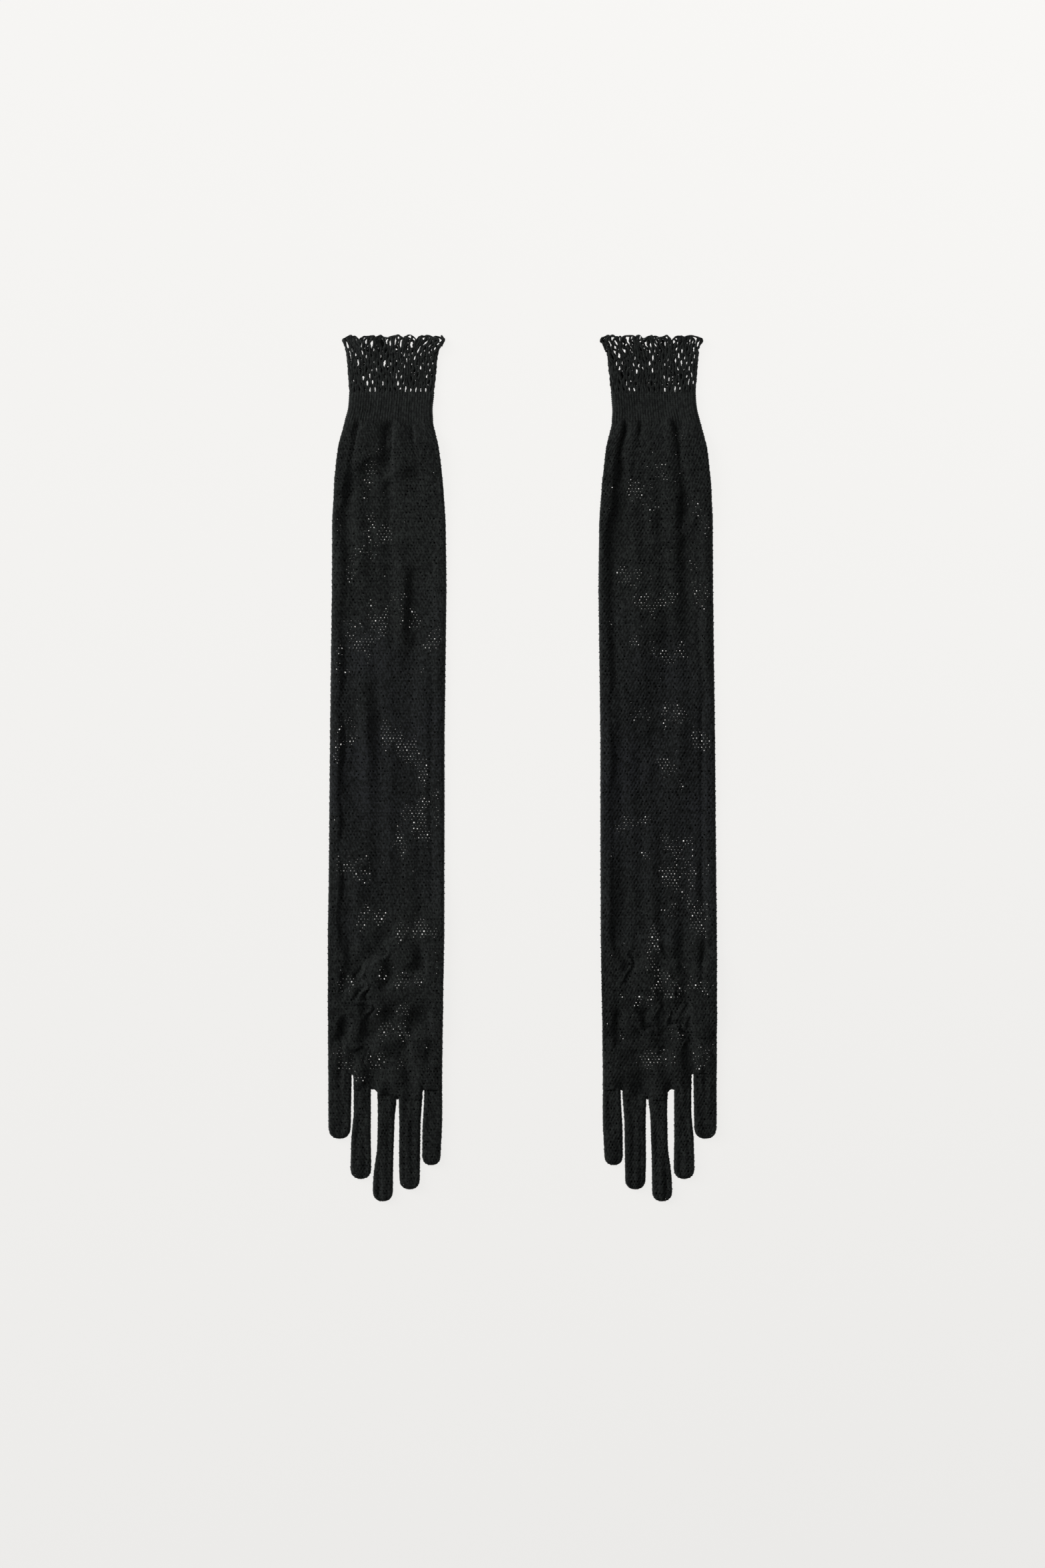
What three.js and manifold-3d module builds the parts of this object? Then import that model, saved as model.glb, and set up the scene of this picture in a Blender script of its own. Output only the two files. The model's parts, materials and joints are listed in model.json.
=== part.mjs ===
// A pair of knitted mesh opera gloves, laid flat with the palms up.
// Millimetres, +Z up: the frilled cuffs point along +Y, the fingertips along -Y, and the pair rests on z = 0.
// Each glove is a run of knitted tubes that meet end to end. One glove is built about its own centre line,
// with the thumb on its -X side, and its pair is the mirror image.

import * as THREE from "three";
import Module from "manifold-3d";

const wasm = await Module();
wasm.setup();

// Driving dimensions
const pairSpacing = 185.6; // between the centre lines of the two gloves
const thickness = 8; // of a glove lying flat, both layers and the air between them
const wall = 1.2; // one layer of knit
const jointGap = 0.4; // between the ends of neighbouring tubes
const roundSteps = 5; // facets on the round edge of a flat tube

// Stations along the glove
const frillTop = 300;
const ribTop = 260;
const ribBottom = 239;
const elbow = 125;
const wrist = -115;
const thumbRoot = -211; // where the thumb leaves the palm
const outerRoot = -222.5; // where the index and little fingers leave the palm
const innerRoot = -229.2; // where the middle and ring fingers leave the palm

// The frill's net
const frillColumns = 14; // stitches across the front of its top edge
const scallopDepth = 2.6; // from the peak of a stitch to the dip beside it

// The covered elastic laid inside the rib
const elasticSize = 1;
const elasticClearance = 0.3;
const elasticCourses = [255, 249.5, 244];

// Outlines: [y, thumb edge, little finger edge], from the centre line
const sleeveOutline = [
  [260, -26.8, 31],
  [249, -27.5, 29.8],
  [239, -30.6, 30.5],
  [223, -35, 34.7],
  [200, -37.5, 37.4],
  [172, -39.2, 39.5],
  [125, -39.4, 40],
  [24, -40.7, 38.7],
  [-68, -41.5, 38.6],
  [-120, -42, 38.5],
  [-160, -42.4, 37.3],
  [-211, -41.7, 36.9],
];
const frillOutline = [
  [300, -32.8, 38.6],
  [294, -30.6, 35.8],
  [286, -29.2, 33.9],
  [274, -28.3, 33],
  [260, -27.2, 31.2],
];
const fingerOutlines = {
  thumb: [
    [-211, -41.8, -25.7],
    [-248, -41.8, -26.3],
    [-256.6, -40.6, -27.6],
  ],
  index: [
    [-222.5, -24.2, -12.4],
    [-240, -24.2, -12.4],
    [-256, -25.9, -12.5],
    [-276, -26.5, -12.1],
    [-284.5, -26.2, -12.4],
  ],
  middle: [
    [-229.2, -7.6, 5.6],
    [-240, -7.5, 4.2],
    [-264, -7.9, 3.3],
    [-280, -10.4, 3],
    [-300, -11.4, 2.8],
  ],
  ring: [
    [-229.2, 7, 23.3],
    [-244, 7.4, 22.1],
    [-272, 7.2, 21.7],
    [-291.7, 7.8, 21.4],
  ],
  little: [
    [-222.5, 24.8, 36.9],
    [-236, 24.3, 37.2],
    [-248, 23.5, 37],
    [-274.9, 23.2, 35.6],
  ],
};
// The part of the palm below the thumb, which carries the four fingers, and below that the middle and ring pair
const fingerPalm = [
  [-200, -24.2, 37],
  [-222.5, -24.2, 36.9],
];
const innerPalm = [
  [-212, -7.7, 23.4],
  [-229.2, -7.6, 23.3],
];

// The station of an outline at one y, with the height that the flat tube has there
function stationAt(outline, y) {
  const below = Math.max(outline.findIndex(([end]) => end <= y), 1);
  const [[y0, left0, right0], [y1, left1, right1]] = outline.slice(below - 1, below + 1);
  const t = (y - y0) / (y1 - y0);
  const mix = THREE.MathUtils.lerp;
  return { y, left: mix(left0, left1, t), right: mix(right0, right1, t), half: thickness / 2 };
}

// Every station that an outline needs from one y down to another
function stationsBetween(outline, from, to) {
  const least = 1;
  const between = outline.map(([y]) => y).filter((y) => y < from - least && y > to + least);
  return [from, ...between, to].map((y) => stationAt(outline, y));
}

// The same stations one skin further in
const insetBy = (stations, inset) =>
  stations.map(({ y, left, right, half }) => ({
    y,
    left: left + inset,
    right: right - inset,
    half: half - inset,
  }));

// The points round a flat oval: straight top and underside, round edges. dips lowers every other point of a net's edge.
function ringAt({ y, left, right, half, dips = 0 }, flatSteps = 1) {
  const points = [];
  const centres = [right - half, left + half];
  centres.forEach((centre, side) => {
    for (let i = 0; i <= roundSteps; i++) {
      const turn = Math.PI * (side - 0.5 + i / roundSteps);
      points.push([centre + half * Math.cos(turn), half * Math.sin(turn)]);
    }
    for (let i = 1; i < flatSteps; i++) {
      const x = THREE.MathUtils.lerp(centre, centres[1 - side], i / flatSteps);
      points.push([x, side ? -half : half]);
    }
  });
  return points.map(([x, z], i) => new THREE.Vector3(x, y - (i % 2) * dips, z + thickness / 2));
}

// A closed body from rings of points. The rings either close on themselves, as round a tube's wall, or end in caps.
function bodyOfRings(rings, closesOnItself) {
  const size = rings[0].length;
  const points = rings.flat();
  const faces = [];
  const bands = closesOnItself ? rings.length : rings.length - 1;
  for (let band = 0; band < bands; band++) {
    const here = band * size;
    const next = ((band + 1) % rings.length) * size;
    for (let i = 0; i < size; i++) {
      const j = (i + 1) % size;
      faces.push(here + i, here + j, next + j, here + i, next + j, next + i);
    }
  }
  if (!closesOnItself) {
    [rings[0], rings.at(-1)].forEach((ring, end) => {
      const centre = ring.reduce((sum, p) => sum.add(p), new THREE.Vector3()).divideScalar(size);
      const first = end ? (rings.length - 1) * size : 0;
      for (let i = 0; i < size; i++) {
        const pair = [first + i, first + ((i + 1) % size)];
        faces.push(points.length, ...(end ? pair : pair.reverse()));
      }
      points.push(centre);
    });
  }
  return new THREE.BufferGeometry().setFromPoints(points).setIndex(faces);
}

// A tube open at both ends, from its cuff end to its finger end
function openTube(stations, skin = wall, flatSteps = 1) {
  const outer = stations.map((s) => ringAt(s, flatSteps));
  const inner = insetBy(stations, skin).map((s, i) => ringAt({ ...s, dips: stations[i].dips }, flatSteps));
  return bodyOfRings([...outer, ...inner.reverse()], true);
}

// A finger: a tube open at its root and closed by a round tip
function fingerTube(outline) {
  const [tipY] = outline.at(-1);
  const root = outline[0][0] - jointGap / 2;
  const roundShare = 1.1; // length of the tip over half the finger's width
  const bluntness = 2.5;
  const tipSteps = [0.3, 0.55, 0.75, 0.9, 0.98];
  const skin = (inset) => {
    const atTip = stationAt(outline, tipY);
    const tipLength = ((atTip.right - atTip.left) / 2) * roundShare;
    const shaft = insetBy(stationsBetween(outline, root, tipY + tipLength), inset);
    const tip = tipSteps.map((step) => {
      const [s] = insetBy([stationAt(outline, tipY + tipLength * (1 - step))], inset);
      const share = (1 - step ** bluntness) ** (1 / bluntness);
      const centre = (s.left + s.right) / 2;
      const reach = ((s.right - s.left) / 2) * share;
      return { y: s.y + inset, left: centre - reach, right: centre + reach, half: s.half * share };
    });
    return [...shaft, ...tip].map((s) => ringAt(s));
  };
  return bodyOfRings([...skin(wall).reverse(), ...skin(0)], false);
}

// A loft between two stations as a manifold solid, to join and cut
function solidLoft(outline, from, to, inset = 0) {
  const rings = insetBy(stationsBetween(outline, from, to), inset).map((s) => ringAt(s));
  const geometry = bodyOfRings(rings, false);
  const vertProperties = new Float32Array(geometry.getAttribute("position").array);
  const triVerts = new Uint32Array(geometry.index.array);
  return new wasm.Manifold(new wasm.Mesh({ numProp: 3, vertProperties, triVerts }));
}

function geometryOf(solid) {
  const { vertProperties, triVerts } = solid.getMesh();
  return new THREE.BufferGeometry()
    .setAttribute("position", new THREE.BufferAttribute(vertProperties, 3))
    .setIndex(new THREE.BufferAttribute(triVerts, 1));
}

// The palm: a flat pouch from the wrist to the roots of the fingers, open at the wrist and into each finger
function palmPouch() {
  const end = jointGap / 2;
  const overlap = 5; // of a wider piece by the narrower one that carries on from it
  const outside = solidLoft(sleeveOutline, wrist - end, thumbRoot + end)
    .add(solidLoft(fingerPalm, thumbRoot + overlap, outerRoot + end))
    .add(solidLoft(innerPalm, outerRoot + overlap, innerRoot + end));
  let inside = solidLoft(sleeveOutline, wrist + overlap, thumbRoot + end + wall, wall)
    .add(solidLoft(fingerPalm, thumbRoot + overlap, outerRoot + end + wall, wall))
    .add(solidLoft(innerPalm, outerRoot + overlap, innerRoot + end + wall, wall));
  for (const outline of Object.values(fingerOutlines)) {
    const [root, left, right] = outline[0];
    const duct = [
      [root + overlap, left, right],
      [root - overlap, left, right],
    ];
    inside = inside.add(solidLoft(duct, root + overlap, root - overlap, wall));
  }
  return geometryOf(outside.subtract(inside));
}

// The frill: a net that flares to a scalloped edge
function frillNet() {
  const stations = stationsBetween(frillOutline, frillTop, ribTop + jointGap / 2);
  stations[0].dips = scallopDepth;
  return openTube(stations, wall, frillColumns);
}

// One course of covered elastic, laid round the inside of the rib
function elasticRing(y) {
  const stations = [y + elasticSize / 2, y - elasticSize / 2].map((at) => stationAt(sleeveOutline, at));
  return openTube(insetBy(stations, wall + elasticClearance), elasticSize);
}

// A length of the sleeve between two stations
const sleeveTube = (from, to) =>
  openTube(stationsBetween(sleeveOutline, from - jointGap / 2, to + jointGap / 2));

const yarn = (color, roughness) => () =>
  new THREE.MeshStandardMaterial({ color, roughness, metalness: 0 });
const meshYarn = yarn(0x1b1d1c, 0.95);
const ribYarn = yarn(0x1f2220, 0.93);
const netYarn = yarn(0x191b1a, 0.9);
const elasticYarn = yarn(0x121312, 0.7);

// One glove, named for the hand that wears it
function glove(side) {
  const group = new THREE.Group();
  const add = (name, geometry, makeMaterial) => {
    const mesh = new THREE.Mesh(geometry, makeMaterial());
    mesh.name = `${side}_${name}`;
    group.add(mesh);
  };
  add("frill", frillNet(), netYarn);
  add("rib_band", sleeveTube(ribTop, ribBottom), ribYarn);
  elasticCourses.forEach((y, i) => add(`elastic_yarn_${i + 1}`, elasticRing(y), elasticYarn));
  add("upper_arm_sleeve", sleeveTube(ribBottom, elbow), meshYarn);
  add("forearm_sleeve", sleeveTube(elbow, wrist), meshYarn);
  add("palm", palmPouch(), meshYarn);
  for (const [name, outline] of Object.entries(fingerOutlines)) {
    add(name === "thumb" ? "thumb" : `${name}_finger`, fingerTube(outline), meshYarn);
  }
  return group;
}

const rightGlove = glove("right");
rightGlove.position.x = -pairSpacing / 2;
const leftGlove = glove("left");
leftGlove.position.x = pairSpacing / 2;
leftGlove.scale.x = -1;

const pair = new THREE.Group();
pair.add(rightGlove, leftGlove);

export default pair;
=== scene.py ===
import json
import math

import bpy
import numpy as np
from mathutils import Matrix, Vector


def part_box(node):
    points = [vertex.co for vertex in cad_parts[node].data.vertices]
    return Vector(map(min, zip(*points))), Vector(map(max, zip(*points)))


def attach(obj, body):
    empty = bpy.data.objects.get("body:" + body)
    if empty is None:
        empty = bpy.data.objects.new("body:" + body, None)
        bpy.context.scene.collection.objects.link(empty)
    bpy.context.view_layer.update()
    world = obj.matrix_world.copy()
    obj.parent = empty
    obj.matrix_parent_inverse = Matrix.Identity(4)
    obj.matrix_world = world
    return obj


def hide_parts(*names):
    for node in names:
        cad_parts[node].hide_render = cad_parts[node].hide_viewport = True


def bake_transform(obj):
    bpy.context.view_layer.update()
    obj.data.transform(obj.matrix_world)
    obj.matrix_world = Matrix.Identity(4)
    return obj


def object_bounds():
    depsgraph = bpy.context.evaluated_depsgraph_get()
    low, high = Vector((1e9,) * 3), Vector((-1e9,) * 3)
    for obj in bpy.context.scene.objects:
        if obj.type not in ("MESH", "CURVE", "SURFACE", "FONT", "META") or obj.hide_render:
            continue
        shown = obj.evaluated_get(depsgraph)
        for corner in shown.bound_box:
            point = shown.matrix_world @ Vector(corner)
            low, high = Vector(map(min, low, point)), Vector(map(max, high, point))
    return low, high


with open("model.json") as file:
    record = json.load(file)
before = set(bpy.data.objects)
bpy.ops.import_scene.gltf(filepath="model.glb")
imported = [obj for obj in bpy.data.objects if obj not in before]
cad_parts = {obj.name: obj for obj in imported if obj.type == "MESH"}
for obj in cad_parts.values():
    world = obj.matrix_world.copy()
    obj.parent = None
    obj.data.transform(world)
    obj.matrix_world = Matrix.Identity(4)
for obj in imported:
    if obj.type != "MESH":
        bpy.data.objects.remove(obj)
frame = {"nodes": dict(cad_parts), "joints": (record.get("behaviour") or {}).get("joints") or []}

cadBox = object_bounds()
mm = 0.001

studio = {
    "frameHeight": 1.0855,  # of floor that the view takes in, from edge to edge
    "lens": 100,  # mm, as is the film's width
    "film": 36,
    "belowMiddle": 0.011,  # the pair lies this far above the middle of the view
    "floorSize": 14,
    "floorColour": (0.07, 0.069, 0.067, 1),
    "glowNear": (0.797, 0.789, 0.775, 1),  # the floor's own light, which washes the shadows out
    "glowFar": (0.912, 0.904, 0.888, 1),
    "glowLevel": 0.4,  # share of the far glow in the middle, and how it grows along and aslant
    "glowAlong": 0.66,
    "glowAslant": 0.5,
    "glowPivot": 0.42,
    "skyColour": (0.92, 0.92, 0.92, 1),
    "skyStrength": 0.09,
    "keyPower": 46,
    "fillPower": 9,
}


def makeCamera():
    camera = bpy.data.objects.new("studioCamera", bpy.data.cameras.new("studioCamera"))
    bpy.context.scene.collection.objects.link(camera)
    camera.data.lens = studio["lens"]
    camera.data.sensor_width = studio["film"]
    away = studio["frameHeight"] * studio["lens"] / studio["film"]
    low, high = cadBox
    camera.location = ((low.x + high.x) / 2, (low.y + high.y) / 2 - studio["belowMiddle"], high.z + away)
    camera.data.clip_end = 60
    bpy.context.scene.camera = camera


def makeSoftbox(name, place, size, power):
    lamp = bpy.data.objects.new(name, bpy.data.lights.new(name, "AREA"))
    bpy.context.scene.collection.objects.link(lamp)
    lamp.data.shape = "RECTANGLE"
    lamp.data.size, lamp.data.size_y = size
    lamp.data.energy = power
    lamp.location = place
    aim = -lamp.location.normalized()
    lamp.rotation_mode = "QUATERNION"
    lamp.rotation_quaternion = aim.to_track_quat("-Z", "Y")


makeCamera()
makeSoftbox("keySoftbox", (-1.7, 0.9, 1.5), (1.2, 1.8), studio["keyPower"])
makeSoftbox("fillSoftbox", (0.9, 1.3, 2.6), (2.4, 2.4), studio["fillPower"])
bpy.context.scene.view_settings.view_transform = "Standard"


class Wire:
    # One socket of a material. Sums and products of wires add their own Math nodes.
    def __init__(self, tree, socket=None):
        self.tree = tree
        self.socket = socket

    def node(self, kind, settings=None, sockets=None, out=0):
        made = self.tree.nodes.new(kind)
        for name, value in (settings or {}).items():
            if name == "stops":
                self.setStops(made.color_ramp, value)
            else:
                setattr(made, name, value)
        for name, value in (sockets or {}).items():
            if isinstance(value, Wire):
                self.tree.links.new(value.socket, made.inputs[name])
            else:
                made.inputs[name].default_value = value
        return Wire(self.tree, made.outputs[out]) if made.outputs else self

    def setStops(self, ramp, stops):
        while len(ramp.elements) < len(stops):
            ramp.elements.new(0.5)
        for element, (place, value) in zip(ramp.elements, stops):
            element.position = place
            element.color = (value, value, value, 1)

    def math(self, operation, first, second):
        return self.node("ShaderNodeMath", {"operation": operation}, {0: first, 1: second})

    def __add__(self, other):
        return self.math("ADD", self, other)

    def __radd__(self, other):
        return self.math("ADD", other, self)

    def __sub__(self, other):
        return self.math("SUBTRACT", self, other)

    def __rsub__(self, other):
        return self.math("SUBTRACT", other, self)

    def __mul__(self, other):
        return self.math("MULTIPLY", self, other)

    def __rmul__(self, other):
        return self.math("MULTIPLY", other, self)

    def clamped(self):
        return self.node("ShaderNodeClamp", None, {"Value": self})

    def mixColours(self, first, second):
        # this wire, from 0 to 1, takes the colour from first to second
        return self.node("ShaderNodeMix", {"data_type": "RGBA"}, {0: self, 6: first, 7: second}, out=2)


def newMaterial(name):
    material = bpy.data.materials.new(name)
    material.use_nodes = True
    material.node_tree.nodes.clear()
    return material, Wire(material.node_tree)


yarns = {
    # deep is painted shade for a fibre's hollows and lit is a painted highlight on its back; cool is that
    # lit colour under a cooler dye
    "mesh": {
        "deep": (0.0035, 0.0042, 0.004, 1),
        "lit": (0.0198, 0.0229, 0.0214, 1),
        "cool": (0.0198, 0.0216, 0.0246, 1),
        "bump": 0.7,
    },
    "rib": {
        "deep": (0.0055, 0.0064, 0.006, 1),
        "lit": (0.0208, 0.024, 0.0223, 1),
        "cool": (0.021, 0.0235, 0.0232, 1),
        "bump": 0.7,
    },
    "net": {
        "deep": (0.004, 0.0047, 0.0045, 1),
        "lit": (0.0205, 0.0234, 0.022, 1),
        "cool": (0.02, 0.022, 0.0228, 1),
        "bump": 0.7,
    },
    "elastic": {
        "deep": (0.004, 0.004, 0.0042, 1),
        "lit": (0.013, 0.0135, 0.014, 1),
        "cool": (0.013, 0.0135, 0.015, 1),
        "bump": 0.3,
    },
}
grain = {
    "dyeScale": 22.0,
    "stitchScale": 820.0,
    "fibreScale": 2600.0,
    "slant": 0.45,  # of the stitches, in radians
    "shade": (0.8, 4.6, 0.5, 2.55),  # shares of dye, stitch and fibre, and what is taken off
    "cool": (2.0, 0.3, 50.0),  # share of dye, what is taken off, and the fade towards both ends
    "roughness": (0.78, 0.2),  # and what a fibre adds
    "relief": (0.3, 1.2),  # shares of fibre and stitch
}


def blackYarn(kind):
    facts = yarns[kind]
    material, wire = newMaterial("blackYarn_" + kind)
    place = wire.node("ShaderNodeTexCoord", out=3)
    slant = wire.node(
        "ShaderNodeMapping",
        None,
        {"Vector": place, "Rotation": (0, 0, grain["slant"]), "Scale": (1, 0.5, 1)},
    )

    def noise(where, scale, detail, distortion=0.0):
        sockets = {"Vector": where, "Scale": scale, "Detail": detail, "Distortion": distortion}
        return wire.node("ShaderNodeTexNoise", None, sockets)

    dye = noise(place, grain["dyeScale"], 2.0)
    stitch = noise(slant, grain["stitchScale"], 1.5)
    fibre = noise(place, grain["fibreScale"], 2.0, 0.6)
    dyeShare, stitchShare, fibreShare, taken = grain["shade"]
    # shade mixes each yarn from its painted shade (deep) to its painted highlight (lit), mostly by the
    # stitch noise, with the dye's random tone and the fibre noise
    shade = (dye * dyeShare + stitch * stitchShare + fibre * fibreShare - taken).clamped()
    along = wire.node("ShaderNodeSeparateXYZ", None, {"Vector": place}, out=1)
    coolShare, coolTaken, coolFade = grain["cool"]
    cool = (dye * coolShare - coolTaken - along * along * coolFade).clamped()
    colour = shade.mixColours(facts["deep"], cool.mixColours(facts["lit"], facts["cool"]))
    roughness = grain["roughness"][0] + grain["roughness"][1] * fibre
    relief = fibre * grain["relief"][0] + stitch * grain["relief"][1]
    reliefSockets = {"Strength": facts["bump"], "Distance": 0.0004, "Height": relief}
    bump = wire.node("ShaderNodeBump", None, reliefSockets)
    shader = wire.node(
        "ShaderNodeBsdfPrincipled",
        None,
        {
            "Base Color": colour,
            "Roughness": roughness,
            "Specular IOR Level": 0.22,
            "Sheen Weight": 0.12,
            "Sheen Roughness": 0.55,
            "Sheen Tint": (0.75, 0.8, 0.8, 1),
            "Normal": bump,
        },
    )
    wire.node("ShaderNodeOutputMaterial", None, {"Surface": shader})
    return material


def paleFloor():
    material, wire = newMaterial("paleFloor")
    place = wire.node("ShaderNodeTexCoord", out=3)
    x = wire.node("ShaderNodeSeparateXYZ", None, {"Vector": place}, out=0)
    y = wire.node("ShaderNodeSeparateXYZ", None, {"Vector": place}, out=1)
    level = studio["glowLevel"] + studio["glowAlong"] * y
    far = (level + studio["glowAslant"] * x * (y + studio["glowPivot"])).clamped()
    shader = wire.node(
        "ShaderNodeBsdfPrincipled",
        None,
        {
            "Base Color": studio["floorColour"],
            "Roughness": 0.9,
            "Specular IOR Level": 0.1,
            "Emission Color": far.mixColours(studio["glowNear"], studio["glowFar"]),
            "Emission Strength": 1.0,
        },
    )
    wire.node("ShaderNodeOutputMaterial", None, {"Surface": shader})
    return material


def makeStudio():
    half = studio["floorSize"] / 2
    corners = [(-half, -half, 0), (half, -half, 0), (half, half, 0), (-half, half, 0)]
    mesh = bpy.data.meshes.new("paleFloor")
    mesh.from_pydata(corners, [], [(0, 1, 2, 3)])
    mesh.materials.append(paleFloor())
    floor = bpy.data.objects.new("paleFloor", mesh)
    bpy.context.scene.collection.objects.link(floor)
    world = bpy.data.worlds.new("studioWorld")
    world.use_nodes = True
    sky = world.node_tree.nodes["Background"]
    sky.inputs["Color"].default_value = studio["skyColour"]
    sky.inputs["Strength"].default_value = studio["skyStrength"]
    bpy.context.scene.world = world


makeStudio()
materials = {kind: blackYarn(kind) for kind in yarns}
print("studio and yarns ready")

# Lengths are in mm from here on. Both gloves are made as the right one, and the left is turned over in x
mirrors = {"right": 1, "left": -1}


def smoothStep(value, low, high):
    t = np.clip((value - low) / (high - low), 0, 1)
    return t * t * (3 - 2 * t)


def softNoise(seed, across, along, count=18):
    # A smooth random field of about -1 to 1, with hills of one length across and another along
    draw = np.random.default_rng(seed)
    turn = draw.uniform(0, 2 * math.pi, count)
    pace = draw.uniform(0.55, 1.25, count) * 2 * math.pi
    start = draw.uniform(0, 2 * math.pi, count)
    kx = np.cos(turn) * pace / across
    ky = np.sin(turn) * pace / along

    def field(x, y):
        total = np.zeros(np.broadcast(x, y).shape)
        for a, b, c in zip(kx, ky, start):
            total += np.sin(a * x + b * y + c)
        return total * math.sqrt(2 / count) * 0.8

    return field


def flatEdges(node):
    # Rows of y, left edge and right edge of a flat CAD tube, read from its flat upper side
    points = np.array([v.co for v in frame["nodes"][node].data.vertices]) / mm
    low, high = (np.array(corner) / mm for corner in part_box(node))
    half = (high[2] - low[2]) / 2
    top = points[points[:, 2] > high[2] - 0.05]
    rows = []
    for y in np.unique(top[:, 1].round(1))[::-1]:
        xs = top[np.abs(top[:, 1] - y) < 0.06, 0]
        if np.ptp(xs) + 2 * half > 0.6 * (high[0] - low[0]):
            rows.append((y, xs.min() - half, xs.max() + half))
    return rows


def edgeCurves(rows, ease=3.0):
    # The left and right edges as smooth functions of y
    ys, left, right = np.array(sorted(rows)).T
    fine = np.arange(ys[0] - 20, ys[-1] + 20, 0.5)
    reach = np.arange(-12, 12.5, 0.5)
    weights = np.exp(-((reach / ease) ** 2))
    weights /= weights.sum()

    def smooth(values):
        line = np.interp(fine, ys, values)
        padded = np.pad(line, len(weights) // 2, mode="edge")
        return np.convolve(padded, weights, mode="valid")

    smoothLeft, smoothRight = smooth(left), smooth(right)
    return lambda y: (np.interp(y, fine, smoothLeft), np.interp(y, fine, smoothRight))


hinges = {j["name"]: np.array(j["pos_m"]) / mm for j in frame["joints"] if j["type"] == "hinge"}
fingers = {
    "thumb": {"node": "thumb", "columns": 16},
    "index": {"node": "index_finger", "columns": 14},
    "middle": {"node": "middle_finger", "columns": 14},
    "ring": {"node": "ring_finger", "columns": 16},
    "little": {"node": "little_finger", "columns": 14},
}
for finger, facts in fingers.items():
    rows = flatEdges("right_" + facts["node"])
    facts["root"] = hinges[f"right_{finger}_bend"][1]
    facts["rootEdges"] = rows[0][1:]
    facts["tip"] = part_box("right_" + facts["node"])[0].y / mm
    facts["edges"] = edgeCurves(rows, 4)

elbow = hinges["right_elbow_fold"][1]
wrist = hinges["right_wrist_fold"][1]
frillFold = hinges["right_frill_fold"][1]
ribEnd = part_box("right_rib_band")[0].y / mm
palmEnd = fingers["thumb"]["root"]
sleeveRows = []
for part in ("rib_band", "upper_arm_sleeve", "forearm_sleeve"):
    sleeveRows += flatEdges("right_" + part)
sleeveRows.append((palmEnd, fingers["thumb"]["rootEdges"][0], fingers["little"]["rootEdges"][1]))
sleeveEdges = edgeCurves(sleeveRows)
frillEdges = edgeCurves(flatEdges("right_frill"), 2)
halfSleeve = 40  # about half the sleeve's width, which turns a share across it into mm

lay = {
    "floorGap": 0.95,  # of the lowest yarn above the floor
    "roll": 2.5,  # radius of the rolled edge of a flat tube
    "middle": 3.6,  # between the two layers, away from the edges
    "ridgeIn": 6.0,  # the crease that runs inside each edge
    "ridgeHeight": 0.7,
    "ridgeWidth": 2.2,
    "ribHeight": 4.0,
    "thinnest": 1.2,
    "tallest": 7.2,  # above this, folds are pressed down to a share of what is left
    "pressed": 0.2,
    "lowest": 0.85,
    "webHeight": 0.7,
    "webLift": 1.1,
    "fingerRoll": 2.35,
    "fingerMiddle": 4.2,
}
folds = {
    "gatherRise": 1.5,  # more height where the cloth leaves the rib
    # soft folds: height, then the length of their waves across and along
    "drift": (0.8, 38, 95),
    "long": (0.75, 15, 120),
    "pucker": (0.9, 17, 30),
    "back": (0.25, 45, 110),
    "edgeValleys": (0.8, 0.45),  # along the left and the right edge
    "valleyIn": (8.5, 1.5),  # from the edge, and how much that drifts
    "valleyWidth": 1.9,
    "ripplesAgain": 0.85,  # share of the folds that are laid on again after the cloth has settled
    "pleatsAgain": 1.0,
    "smallPleats": 7,
    "creaseBend": 2.6,
    "webDepth": 0.9,
    "webWidth": 2.6,
    "webLengths": (26, 13),  # by the thumb, and between two fingers
    # valleys that the rib pulls into the cloth below it: place across, depth, width, length, lean
    "right": [(-0.7, 2.0, 0.13, 50, 0), (0.05, 4.0, 0.15, 62, -0.001), (0.52, 1.5, 0.1, 34, 0.0005)],
    "left": [(0.7, 3.0, 0.1, 76, 0.0018), (0.36, 1.6, 0.06, 30, 0.002), (-0.4, 3.2, 0.12, 80, -0.0012)],
}
seeds = {"right": 11, "left": 47}


def flatOval(around, halfWidth, roll):
    # x and z of a point that goes round a flat oval at an even pace, from its left edge over the top
    straight = 2 * (halfWidth - roll)
    bend = math.pi * roll
    length = 2 * (straight + bend)
    s = np.mod(around, 1) * length
    s = np.where(s > length / 2, s - length, s)  # from -half to half, the underside negative
    over = np.abs(s)
    first = bend / 2
    turn = np.clip(over / roll, 0, math.pi / 2)
    lastTurn = np.clip((over - first - straight) / roll, 0, math.pi / 2)
    x = -halfWidth + roll * (1 - np.cos(turn)) + np.clip(over - first, 0, straight) + roll * np.sin(lastTurn)
    z = roll * (np.sin(turn) - (1 - np.cos(lastTurn)))
    return x, np.where(s < 0, -z, z)


def gatherField(side):
    # The soft pleats that the rib pulls into the cloth below it, below zero in a valley
    draw = np.random.default_rng(seeds[side])
    small = [
        (draw.uniform(-0.9, 0.9), draw.uniform(0.2, 0.5), 0.035, draw.uniform(14, 34), 0)
        for number in range(folds["smallPleats"])
    ]

    def field(s, y):
        down = ribEnd - y
        total = np.zeros(np.broadcast(s, y).shape)
        for at, deep, wide, long, lean in folds[side] + small:
            spread = wide * (1 + np.clip(down, 0, 200) / 90)
            fade = smoothStep(down, -5, 8) * np.exp(-((np.clip(down, 0, None) / long) ** 1.8))
            off = (s - at - lean * down) / spread
            off = np.where(off > 0, 2.2 * off, off)  # steeper on one side
            total += deep * (0.45 * np.exp(-(((off - 2.6) / 1.5) ** 2)) - np.exp(-(off**2))) * fade
        return total

    return field


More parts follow.
